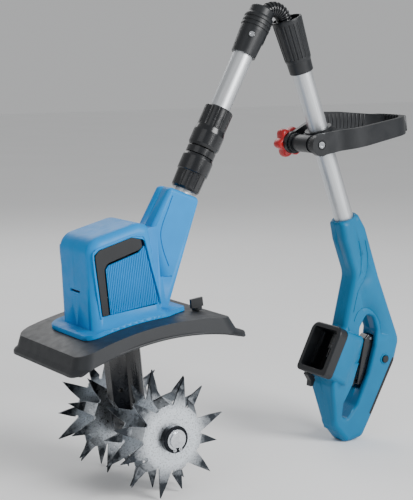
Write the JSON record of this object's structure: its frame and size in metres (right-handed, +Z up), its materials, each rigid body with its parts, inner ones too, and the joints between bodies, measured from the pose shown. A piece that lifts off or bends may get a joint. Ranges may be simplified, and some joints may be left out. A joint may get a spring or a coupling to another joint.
{
  "type": "folding cordless tiller",
  "caption": "Folding battery soil tiller: blue motor head over toothed tine discs, arched guard, two-part tube shaft, loop handle and D-shaped rear handle.",
  "frame": {"origin": "on the ground, in the middle of the folded tiller's footprint", "axes": "+X from the tines to the rear handle, +Y along the tine axle, +Z up"},
  "size_m": [0.586, 0.206, 0.6399],
  "materials": {
    "blue_abs": "textured moulded",
    "teal_abs": "textured moulded",
    "black_nylon": "moulded, satin",
    "black_gloss": "moulded, glossy",
    "soft_grip": "overmoulded",
    "red_knob": "moulded",
    "tube_aluminium": "anodised, satin",
    "tine_steel": "zinc plated",
    "dark_steel": "black oxide",
    "turned_steel": "turned",
    "gear_steel": "machined",
    "bronze": "sintered",
    "contact_steel": "nickel plated",
    "light_lens": "clear",
    "circuit_board": "coated"
  },
  "bodies": {
    "head": {"motor_housing_left": "blue_abs", "motor_housing_right": "blue_abs", "grille_left": "blue_abs", "grille_right": "blue_abs", "side_trim_left": "black_nylon", "side_trim_right": "black_nylon", "guard": "black_nylon", "leg_case_left": "black_gloss", "leg_case_right": "black_gloss", "motor_can": "gear_steel", "motor_gearbox": "gear_steel", "shaft_bearings": "gear_steel", "axle_bushes": "bronze", "axle_seals": "soft_grip", "housing_screws": "dark_steel", "stub_tube": "tube_aluminium", "coupler_body": "black_gloss"},
    "tines": {"axle": "turned_steel", "bevel_gear": "gear_steel", "hub_left": "dark_steel", "hub_right": "dark_steel", "tine_outer_left": "tine_steel", "tine_inner_left": "tine_steel", "tine_inner_right": "tine_steel", "tine_outer_right": "tine_steel", "axle_clips": "turned_steel"},
    "drive": {"drive_shaft": "gear_steel", "bevel_pinion": "gear_steel"},
    "guard_screw": {"guard_screw": "black_nylon"},
    "lower_nut": {"lower_nut": "black_gloss"},
    "upper_nut": {"upper_nut": "black_gloss"},
    "lower_section": {"lower_tube": "tube_aluminium", "conduit_fitting": "black_nylon", "fitting_screws": "turned_steel", "conduit": "black_gloss"},
    "upper_section": {"upper_tube": "tube_aluminium", "tube_plug": "black_nylon", "handle_clamp": "black_nylon", "rear_housing_left": "teal_abs", "rear_housing_right": "teal_abs", "grip_strip": "soft_grip", "battery_bay": "black_nylon", "terminals": "contact_steel", "charge_light": "light_lens", "trigger_pin": "gear_steel", "trigger_spring": "gear_steel", "trigger_switch": "black_gloss", "handle_screws": "dark_steel", "control_board": "circuit_board"},
    "sleeve": {"locking_sleeve": "black_nylon"},
    "loop": {"loop_handle": "black_nylon", "pivot_bolt": "turned_steel", "toothed_rings": "black_nylon", "clamp_spacers": "black_nylon"},
    "knob": {"clamp_knob": "red_knob"},
    "trigger": {"trigger": "black_gloss"},
    "lock_button": {"lock_button": "black_nylon"},
    "catch": {"battery_catch": "black_nylon"}
  },
  "joints": [
    {"name": "tine_spin", "type": "hinge", "parent": "head", "child": "tines", "pos_m": [-0.15264, 0, 0.08005], "axis": [0, 1, 0], "continuous": true},
    {"name": "drive_spin", "type": "hinge", "parent": "head", "child": "drive", "pos_m": [-0.15264, 0, 0.08005], "axis": [-0.1045, 0, 0.9945], "continuous": true},
    {"name": "guard_screw_turn", "type": "hinge", "parent": "head", "child": "guard_screw", "pos_m": [-0.0808, -0.036, 0.23843], "axis": [-0.1045, 0, 0.9945], "continuous": true},
    {"name": "lower_nut_twist", "type": "hinge", "parent": "head", "child": "lower_nut", "pos_m": [-0.07704, 0, 0.388], "axis": [0.4664, 0, 0.8846], "range_deg": [0, 120]},
    {"name": "upper_nut_twist", "type": "hinge", "parent": "head", "child": "upper_nut", "pos_m": [-0.07704, 0, 0.388], "axis": [0.4664, 0, 0.8846], "range_deg": [0, 120]},
    {"name": "shaft_extend", "type": "slide", "parent": "head", "child": "lower_section", "axis": [0.4664, 0, 0.8846], "range_m": [0, 0.08]},
    {"name": "fold", "type": "hinge", "parent": "lower_section", "child": "upper_section", "pos_m": [0.06683, 0, 0.60941], "axis": [0, -1, 0], "range_deg": [0, 131.7], "deforming": ["conduit"]},
    {"name": "sleeve_slide", "type": "slide", "parent": "upper_section", "child": "sleeve", "axis": [-0.3502, 0, 0.9367], "range_m": [-0.03, 0]},
    {"name": "loop_tilt", "type": "hinge", "parent": "upper_section", "child": "loop", "pos_m": [0.12732, 0, 0.44275], "axis": [0, 1, 0], "range_deg": [-40, 50]},
    {"name": "knob_turn", "type": "hinge", "parent": "loop", "child": "knob", "pos_m": [0.12732, 0, 0.44275], "axis": [0, 1, 0], "continuous": true},
    {"name": "trigger_pull", "type": "hinge", "parent": "upper_section", "child": "trigger", "pos_m": [0.24236, 0, 0.15], "axis": [0, -1, 0], "range_deg": [0, 8], "stiffness_Nm_per_rad": 1, "springref_deg": -5.73},
    {"name": "lock_press", "type": "slide", "parent": "upper_section", "child": "lock_button", "axis": [0, 1, 0], "range_m": [0, 0.004], "stiffness_N_per_m": 300, "springref_m": -0.002},
    {"name": "catch_release", "type": "hinge", "parent": "upper_section", "child": "catch", "pos_m": [0.14833, 0, 0.10118], "axis": [0, -1, 0], "range_deg": [0, 12], "stiffness_Nm_per_rad": 0.3, "springref_deg": -8.59}
  ],
  "couplings": [
    {"joint": "drive_spin", "follows": "tine_spin", "ratio": -3}
  ]
}
